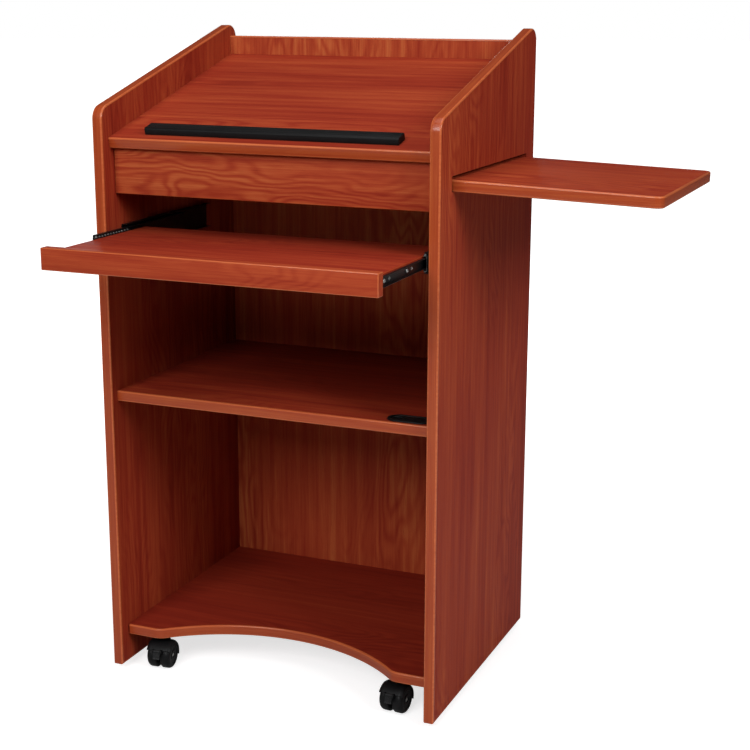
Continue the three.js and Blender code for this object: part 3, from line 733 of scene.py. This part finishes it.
def make_eased_boards(palette):
    # roll is the painted highlight colour, put on the tray rail's edges
    level, roll = palette["edge_level"], palette["edge_painted_highlight"]
    boards = (
        ("fascia_board", "front_fascia", palette["fascia"], level, "cabinet", BOARD_EASE),
        ("tray_rail_board", "tray_front_rail", palette["rail"], roll, "keyboard_tray", RAIL_EASE),
        ("tray_top_board", "tray_board", palette["tray"], level, "keyboard_tray", BOARD_EASE),
    )
    for board in boards:
        eased_board(*board)


# ------------------------------------------------------------------ keyboard slides
def c_section(height, depth, metal, bend, inner_bend, lip, steps):
    """A rolled C section as (distance off its web, height), opening away from the web."""
    half = height / 2
    return rounded(
        [
            (0, -half, bend),
            (depth, -half, lip),
            (depth, metal - half, lip),
            (metal, metal - half, inner_bend),
            (metal, half - metal, inner_bend),
            (depth, half - metal, lip),
            (depth, half, lip),
            (0, half, bend),
        ],
        steps,
    )


def make_channel(name, node, palette, body, side, opens):
    """A slide member. side is its panel's side, and opens is 1 if it opens towards that panel."""
    low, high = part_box(node)
    metal = SLIDE_METAL
    bends = (1.5 * metal, 0.6 * metal, 0.45 * metal)
    section = c_section(high.z - low.z, high.x - low.x, metal, *bends, 4)
    way = opens * side
    web = low.x if way > 0 else high.x
    middle = (low.z + high.z) / 2
    rings = []
    for y in (low.y, high.y):
        rings.append([Vector((web + way * off, y, middle + rise)) for off, rise in section])
    add_piece(name, loft(rings), palette["steel"], body, [node])


def make_retainer(hand, side, palette):
    """The strip that spaces the balls between a slide's middle and tray members, with its balls."""
    low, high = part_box(f"{hand}_slide_middle_member")
    web = high.x if side > 0 else low.x
    middle = (low.z + high.z) / 2
    start = low.y - RETAINER_LEAD
    metal, lip = RETAINER_METAL, RETAINER_LIP
    section = c_section(RETAINER_HEIGHT, RETAINER_DEPTH, metal, metal, lip, lip, 3)
    back = web - side * (SLIDE_METAL + RETAINER_PLAY)
    rings = []
    for y in (start, start + RETAINER_LENGTH):
        rings.append([Vector((back - side * off, y, middle + rise)) for off, rise in section])
    bm = loft(rings)
    for level in (-1, 1):
        for i in range(BALL_COUNT):
            y = start + BALL_PITCH * (0.5 + i)
            centre = Vector((web - side * BALL_OFF, y, middle + level * BALL_RISE))
            ball = bmesh.new()
            bmesh.ops.create_uvsphere(ball, u_segments=20, v_segments=12, radius=BALL_RADIUS)
            ball.transform(Matrix.Translation(centre))
            merge(bm, ball)
    body = f"{hand}_slide_carriage"
    add_piece(f"{hand}_slide_ball_cage", bm, palette["cage"], body)


def make_eyelets(hand, side, palette):
    """Rolled rims round the spare screw holes of a tray member."""
    low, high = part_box(f"{hand}_slide_tray_member")
    face = (low.x if side > 0 else high.x) + side * SLIDE_METAL
    middle = (low.z + high.z) / 2
    profile = [(r * MM, x * MM) for r, x in EYELET_SECTION]
    bm = bmesh.new()
    for along in SLIDE_HOLES:
        place = Matrix.Translation((face, low.y + along, middle)) @ Matrix.Diagonal((side, 1, 1, 1))
        merge(bm, lathe(profile + profile[:1], 32, place))
    add_piece(f"{hand}_slide_hole_rims", bm, palette["zinc"], "keyboard_tray")


def make_screw(name, node, side, palette):
    """A pan-head screw with a cross recess, its head facing the side panel."""
    low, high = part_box(node)
    radius = (high.z - low.z) / 2
    length = high.x - low.x
    head = SCREW_HEAD_HEIGHT
    profile = [(0, head - 0.05 * MM)]
    for share in (0.16, 0.32, 0.48, 0.64, 0.8):
        reach = share * radius
        profile.append((reach, head - SCREW_DOME * reach**2))
    profile += [
        (0.92 * radius, 0.62 * head),
        (radius, 0.42 * head),
        (radius, 0.08 * head),
        (0.96 * radius, 0),
        (SCREW_SHANK, 0),
        (SCREW_SHANK, head + SCREW_POINT - length),
        (0, head - length),
    ]
    start = (high.x if side > 0 else low.x) - side * head
    place = Matrix.Translation((start, (low.y + high.y) / 2, (low.z + high.z) / 2))
    bm = lathe(profile, 40)
    for vert in bm.verts:
        if vert.co.x <= RECESS_FROM * head:
            continue
        reach = vert.co.yz.length
        angle = math.atan2(vert.co.z, vert.co.y)
        across = reach * abs(math.sin(2 * angle)) / 2
        if reach < RECESS_REACH * radius and across < RECESS_WIDTH * radius:
            vert.co.x -= RECESS_DEPTH * head * (1 - reach / radius)
    bm.transform(place @ Matrix.Diagonal((side, 1, 1, 1)))
    add_piece(name, bm, palette["zinc"], "keyboard_tray", [node], sharp=40)


def make_slides(palette):
    for hand, side in (("left", -1), ("right", 1)):
        members = (
            ("cabinet", "cabinet", -1),
            ("middle", f"{hand}_slide_carriage", -1),
            ("tray", "keyboard_tray", 1),
        )
        for member, body, opens in members:
            slide = f"{hand}_slide_{member}"
            make_channel(f"{slide}_channel", f"{slide}_member", palette, body, side, opens)
        make_retainer(hand, side, palette)
        make_eyelets(hand, side, palette)
        for end in ("front", "rear"):
            make_screw(f"{hand}_slide_{end}_pan_head", f"{hand}_slide_screw_{end}", side, palette)


# ------------------------------------------------------------------ cable grommet
def stadium(length, width, inset=0.0, steps=14):
    x, radius = (length - width) / 2, width / 2 - inset
    right = arc((x, 0), radius, -math.pi / 2, math.pi / 2, steps)
    return right + arc((-x, 0), radius, math.pi / 2, 1.5 * math.pi, steps)


def make_grommet(palette):
    low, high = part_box("grommet_liner")
    length, width = high.x - low.x, high.y - low.y
    centre = (low + high) / 2
    well = GROMMET_RIM + GROMMET_WALL
    top, flange = high.z, high.z - GROMMET_LIP
    stations = [
        (GROMMET_RIM, flange),
        (0, flange),
        (0, top - 1.4 * MM),
        (0.4 * MM, top - 0.4 * MM),
        (1.4 * MM, top),
        (well - 1.2 * MM, top),
        (well - 0.3 * MM, top - 0.3 * MM),
        (well, top - 1.0 * MM),
        (well, flange),
        (well + 2 * MM, flange),
        (well + 2 * MM, low.z),
        (GROMMET_RIM, low.z),
    ]
    rings = []
    for inset, z in stations:
        ring = stadium(length, width, inset)
        rings.append([Vector((centre.x + x, centre.y + y, z)) for x, y in ring])
    sleeve, node = loft(rings, closed=True), "grommet_liner"
    add_piece("grommet_sleeve", sleeve, palette["plastic"], "cabinet", [node])

    low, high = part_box("grommet_cap")
    radius = (high.y - low.y) / 2
    end = (high.x - low.x) / 2 - radius
    half, corner = CABLE_NOTCH_WIDTH / 2, CABLE_NOTCH_WIDTH / 2 - 0.5 * MM
    bottom = low.x - (low.x + high.x) / 2 + CABLE_NOTCH_LENGTH - corner
    mouth = math.asin(half / radius)
    path = arc((end, 0), radius, -math.pi / 2, math.pi / 2, 14)
    path += arc((-end, 0), radius, math.pi / 2, math.pi - mouth, 8)
    path += arc((bottom, half - corner), corner, math.pi / 2, 0, 6)
    path += arc((bottom, corner - half), corner, 0, -math.pi / 2, 6)
    path += arc((-end, 0), radius, math.pi + mouth, 1.5 * math.pi, 8)
    steps = mitres(path, True)
    middle = (low + high) / 2
    rings = []
    ease, turn = CAP_EASE, 0.3 * CAP_EASE
    for inset, z in ((0, low.z), (0, high.z - ease), (turn, high.z - turn), (ease, high.z)):
        ring = [point - out * inset for point, out in zip(path, steps)]
        rings.append([Vector((middle.x + x, middle.y + y, z)) for x, y in ring])
    lid, node = loft(rings), "grommet_cap"
    add_piece("grommet_lid_disc", lid, palette["plastic"], "grommet_lid", [node])


# ------------------------------------------------------------------ casters
def rod(radius, start, stop, axis, place, ease=0.4 * MM, steps=32):
    """A cylinder with eased rims between two places on the x or z axis of place."""
    profile = [
        (0, start),
        (radius - ease, start),
        (radius, start + ease),
        (radius, stop - ease),
        (radius - ease, stop),
        (0, stop),
    ]
    turn = Matrix.Rotation(-math.pi / 2, 4, "Y") if axis == "z" else Matrix()
    return lathe(profile, steps, place @ turn)


def swept_about_x(section, start, stop, steps, place, ease):
    """An (x, radius) section swept about X from one angle to another, its two ends rolled over."""
    middle = sum(section, Vector((0, 0))) / len(section)
    stations = [(start, ease), (start + ease / HOOD_OUTER, 0)]
    stations += [(start + (stop - start) * i / steps, 0) for i in range(1, steps)]
    stations += [(stop - ease / HOOD_OUTER, 0), (stop, ease)]
    rings = []
    for angle, inset in stations:
        ring = []
        for x, radius in section:
            if inset:
                radius += (inset if radius < middle.y else -inset) * 0.6
            ring.append(place @ Vector((x, radius * math.cos(angle), radius * math.sin(angle))))
        rings.append(ring)
    return loft(rings)


def hood_section():
    """The cover over both wheels, cut along the axle: a barrel shell, open at both sides."""
    corner = HOOD_SHOULDER_X
    rim = HOOD_OUTER - HOOD_SHOULDER
    outer_end = math.acos((HOOD_HALF - corner) / HOOD_SHOULDER)
    inner = HOOD_SHOULDER - HOOD_THICK
    inner_end = math.acos((HOOD_HALF - corner) / inner)
    section = arc((corner, rim), HOOD_SHOULDER, outer_end, math.pi / 2, 8)
    section += arc((-corner, rim), HOOD_SHOULDER, math.pi / 2, math.pi - outer_end, 8)
    section += arc((-corner, rim), inner, math.pi - inner_end, math.pi / 2, 8)
    section += arc((corner, rim), inner, math.pi / 2, inner_end, 8)
    return section


def make_hood(name, axle, brake, palette):
    section = hood_section()
    bm = swept_about_x(section, HOOD_FROM, HOOD_TO, 40, axle, 0.6 * MM)

    # web between the wheels, out to the cover where there is one
    rim = arc((0, 0), HOOD_OUTER - 0.5 * HOOD_THICK, HOOD_FROM + 0.01, HOOD_TO - 0.01, 36)
    rim += arc((0, 0), WEB_HUB, HOOD_TO, HOOD_FROM + math.tau, 18)
    merge(bm, bar(rim, -WEB_HALF, WEB_HALF, axle))

    swivel = axle @ Matrix.Translation((0, CASTER_TRAIL, 0))
    merge(bm, rod(BOSS_RADIUS, BOSS_FOOT, BOSS_TOP - AXLE_HEIGHT, "z", swivel, 0.8 * MM, 48))
    merge(bm, rod(COLLAR_RADIUS, BOSS_FOOT, COLLAR_TOP, "z", swivel, COLLAR_EASE, 48))
    if brake:
        pivot = axle @ Matrix.Translation((0, *PEDAL_PIVOT))
        inner = PEDAL_HALF + 0.3 * MM
        for side in (-1, 1):
            ends = sorted((side * inner, side * (inner + EAR_THICK)))
            merge(bm, rod(EAR_RADIUS, *ends, "x", pivot))
    piece, node, look = f"caster_{name}_hood_moulding", f"caster_{name}_hood", palette["plastic"]
    add_piece(piece, bm, look, f"{name}_swivel", [node], sharp=SHARP_MOULDING)


def wheel_profile():
    """Half section of a wheel as (radius, distance out from its inner face)."""
    shoulder, width = WHEEL_SHOULDER, WHEEL_WIDTH
    bore = AXLE_RADIUS + AXLE_PLAY
    profile = [
        (bore, 0),
        (AXLE_HEIGHT - 2.5 * MM, 0),
        (AXLE_HEIGHT - 0.5 * MM, 1.1 * MM),
        (AXLE_HEIGHT, 2 * MM),
    ]
    for point in arc((AXLE_HEIGHT - shoulder, width - shoulder), shoulder, 0, math.pi / 2, 10):
        profile.append((point.x, point.y))
    profile += [(r * MM, x * MM) for r, x in WHEEL_DISH]
    return profile + [(bore, BORE_DEPTH), (bore, 0)]


def make_wheels(name, axle, palette):
    for hand, way in (("left", -1), ("right", 1)):
        inner_face = Matrix.Translation((way * WHEEL_INNER, 0, 0))
        bm = lathe(wheel_profile(), 64, axle @ inner_face @ Matrix.Diagonal((way, 1, 1, 1)))
        node = f"caster_{name}_wheel_{hand}"
        piece, body = f"caster_{name}_{hand}_tyre", f"{name}_wheel_{hand}"
        add_piece(piece, bm, palette["tread"], body, [node], sharp=SHARP_MOULDING)
    bm = rod(AXLE_RADIUS, -AXLE_HALF, AXLE_HALF, "x", axle, 0.8 * MM, 40)
    node = f"caster_{name}_axle"
    add_piece(f"{node}_rod", bm, palette["zinc"], f"{name}_swivel", [node])


def make_pedal(name, axle, palette):
    """The brake pedal: a ribbed tongue hanging from a barrel on two trunnions."""
    pivot = axle @ Matrix.Translation((0, *PEDAL_PIVOT))
    down = Vector(PEDAL_TIP) - Vector(PEDAL_PIVOT)
    length = down.length
    half = PEDAL_THICK / 2
    outline = [(half, 0, 0), (-half, 0, 0)]
    for i in range(PEDAL_RIBS):
        top = -PEDAL_FIRST_RIB - i * PEDAL_PITCH
        foot = top - RIB_LENGTH
        outline += [
            (PEDAL_DIP - half, top + RIB_FLARE, 0),
            (-half, top, RIB_EASE),
            (-half, foot, RIB_EASE),
            (PEDAL_DIP - half, foot - RIB_FLARE, 0),
        ]
    outline += [(-half, -length, PEDAL_END), (half, -length, PEDAL_END)]
    section = rounded(outline, 3)
    tilt = math.atan2(down.x, -down.y)
    tongue = bar(section, -PEDAL_HALF, PEDAL_HALF, pivot @ Matrix.Rotation(tilt, 4, "X"))
    merge(tongue, rod(PEDAL_BARREL, -PEDAL_HALF, PEDAL_HALF, "x", pivot))
    reach = PEDAL_HALF + EAR_THICK
    merge(tongue, rod(TRUNNION_RADIUS, -reach, reach, "x", pivot))
    piece, node = f"caster_{name}_pedal_moulding", f"caster_{name}_brake_pedal"
    add_piece(piece, tongue, palette["pedal"], f"{name}_brake", [node])


def make_casters(palette):
    for name, turn in CASTER_TURN.items():
        low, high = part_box(f"caster_{name}_plate")
        middle = (low + high) / 2
        stem = Matrix.Translation((middle.x, middle.y, 0))
        swivel = Matrix.Rotation(math.radians(turn), 4, "Z")
        axle = stem @ swivel @ Matrix.Translation((0, -CASTER_TRAIL, AXLE_HEIGHT))
        brake = name.startswith("front")
        make_hood(name, axle, brake, palette)
        make_wheels(name, axle, palette)
        if brake:
            make_pedal(name, axle, palette)


# ------------------------------------------------------------------ floor, light and output
FLOOR_RADIUS = 40
FLOOR_GREYS = (0.60, 0.64)
FLOOR_GLOW = 0.72  # lifts the paper floor near the lectern
FLOOR_GLOW_FAR = 1.3  # burns it out to white further away
GLOW_STARTS, GLOW_ENDS = 0.5, 2.6  # metres from the origin
WORLD_FILL = 0.04  # the world's strength for everything but the camera
AIM_HEIGHT = 0.7
# place, width and height, watts
LIGHTS = {
    "key": ((-0.5, -3.6, 2.6), (2.0, 1.4), 92),
    "high": ((-0.5, -2.6, 3.8), (2.0, 1.4), 20),
    "top": ((0.3, -0.1, 4.2), (3.0, 3.0), 56),
    "side": ((3.3, -1.4, 2.7), (1.6, 1.6), 88),
    "back": ((-1.9, 3.4, 1.0), (2.0, 1.6), 24),
}


def make_stage():
    bm = bmesh.new()
    bmesh.ops.create_circle(bm, cap_ends=True, segments=96, radius=FLOOR_RADIUS)
    mesh = bpy.data.meshes.new("floor")
    bm.to_mesh(mesh)
    bm.free()
    floor = bpy.data.objects.new("floor", mesh)
    bpy.context.scene.collection.objects.link(floor)
    graph = Graph("studio_floor")
    cloud = graph.noise(graph.place(), scale=2.0, detail=2)
    shade = graph.mix(cloud, *((grey, grey, grey, 1) for grey in FLOOR_GREYS))
    mesh.materials.append(graph.surface(shade, 0.8, specular=0.1))
    where = graph.node("ShaderNodeTexCoord").outputs["Object"]
    away = graph.node("ShaderNodeVectorMath", {0: where}, operation="LENGTH").outputs["Value"]
    glow = graph.spread(away, GLOW_STARTS, GLOW_ENDS, FLOOR_GLOW, FLOOR_GLOW_FAR)
    seen = graph.node("ShaderNodeLightPath").outputs["Is Camera Ray"]
    graph.put(graph.shader.inputs["Emission Color"], (1, 1, 1, 1))
    graph.put(graph.shader.inputs["Emission Strength"], graph.math("MULTIPLY", glow, seen))


def area_light(name, place, target, size, power):
    data = bpy.data.lights.new(name, "AREA")
    data.shape = "RECTANGLE"
    data.size, data.size_y = size
    data.energy = power
    light = bpy.data.objects.new(name, data)
    bpy.context.scene.collection.objects.link(light)
    light.location = place
    light.rotation_euler = (Vector(target) - Vector(place)).to_track_quat("-Z", "Y").to_euler()


def make_lights():
    aim = (MIDDLE_X, 0, AIM_HEIGHT)
    for name, (place, size, power) in LIGHTS.items():
        area_light(name, place, aim, size, power)
    world = bpy.data.worlds.new("studio")
    world.use_nodes = True
    tree = world.node_tree
    background = tree.nodes["Background"]
    background.inputs["Color"].default_value = (1, 1, 1, 1)
    seen = tree.nodes.new("ShaderNodeLightPath")
    strength = tree.nodes.new("ShaderNodeMapRange")
    strength.inputs["To Min"].default_value = WORLD_FILL
    strength.inputs["To Max"].default_value = 1.0
    tree.links.new(seen.outputs["Is Camera Ray"], strength.inputs["Value"])
    tree.links.new(strength.outputs[0], background.inputs["Strength"])
    bpy.context.scene.world = world
    bpy.context.scene.view_settings.view_transform = "Standard"


# ------------------------------------------------------------------ the whole picture
def make_palette():
    black = (0.004, 0.004, 0.0043)
    return {
        # tones are set board by board: the dark shelves and tray carry painted shade, and the pale
        # fascia, rail and back carry painted light
        "left": wood("cherry_left_panel", "z", 1, figure=0.14, tone_and_shading=0.43),
        "right": wood("cherry_right_panel", "z", 2, figure=0.16, tone_and_shading=0.42),
        "back": wood("cherry_back_panel", "z", 3, figure=0.22, tone_and_shading=0.54),
        "desk": wood("cherry_reading_surface", "x", 4, figure=0.18, tone_and_shading=0.40),
        "fascia": wood("cherry_fascia", "x", 5, figure=0.24, tone_and_shading=0.54, rings=125.0, sway=34.0),
        "middle": wood("cherry_middle_shelf", "x", 6, figure=0.14, tone_and_shading=0.32),
        "base": wood("cherry_base_shelf", "x", 7, figure=0.14, contrast=0.7, tone_and_shading=0.25),
        "tray": wood("cherry_tray", "x", 8, figure=0.16, tone_and_shading=0.31),
        "rail": wood("cherry_tray_rail", "x", 9, figure=0.24, tone_and_shading=0.50, rings=125.0, sway=34.0),
        "side": wood("cherry_side_shelf", "x", 10, figure=0.2, tone_and_shading=0.42),
        "edge_upright": edge_wood("cherry_upright_edge", "x", 260, 1),
        "edge_level": edge_wood("cherry_level_edge", "z", 260, 2),
        # painted highlight for rounded edges
        "edge_painted_highlight": edge_wood("cherry_edge_painted_highlight", "z", 260, 3, CHERRY_PAINTED_HIGHLIGHT),
        "raw": wood("bare_hardwood", "x", 11, RAW_WOOD),
        "ledge": plastic("ledge_plastic", black, 0.5, 0.0006),
        "plastic": plastic("moulded_plastic", black, 0.45, 0.0005),
        "pedal": plastic("pedal_plastic", (0.012, 0.012, 0.0125), 0.40, 0.0005),
        "tread": plastic("wheel_plastic", black, 0.42, 0.0008),
        "steel": metal("black_slide_steel", (0.012, 0.012, 0.013), 0.38, 0.6),
        "cage": metal("dull_zinc", (0.16, 0.16, 0.155), 0.42, 0.9),
        "zinc": metal("bright_zinc", (0.62, 0.62, 0.60), 0.30),
    }


make_camera()
palette = make_palette()
dress_boards(palette)
make_panel_bands(palette)
make_straight_bands(palette)
make_base_band(palette)
make_side_shelf_band(palette)
make_desk_front(palette)
make_eased_boards(palette)
make_slides(palette)
make_grommet(palette)
make_casters(palette)
make_stage()
make_lights()
